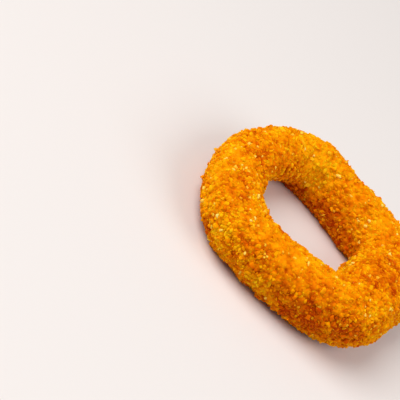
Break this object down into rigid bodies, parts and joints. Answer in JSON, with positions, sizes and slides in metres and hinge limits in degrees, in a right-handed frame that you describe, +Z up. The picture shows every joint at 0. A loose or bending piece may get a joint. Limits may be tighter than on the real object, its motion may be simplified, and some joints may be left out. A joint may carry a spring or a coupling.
{
  "type": "breaded onion ring",
  "caption": "Deep-fried onion ring: a thick, uneven band of golden crumb-coated batter round an open hole, lying flat.",
  "frame": {"origin": "on the surface that the ring rests on, under the middle of its outline", "axes": "+Z up through the hole; the widest and highest stretch of the band is towards +X and the lowest towards -X"},
  "size_m": [0.0692, 0.0694, 0.0209],
  "materials": {
    "crumb_coating": "satin"
  },
  "bodies": {
    "root": {"onion_ring": "crumb_coating"}
  },
  "joints": []
}
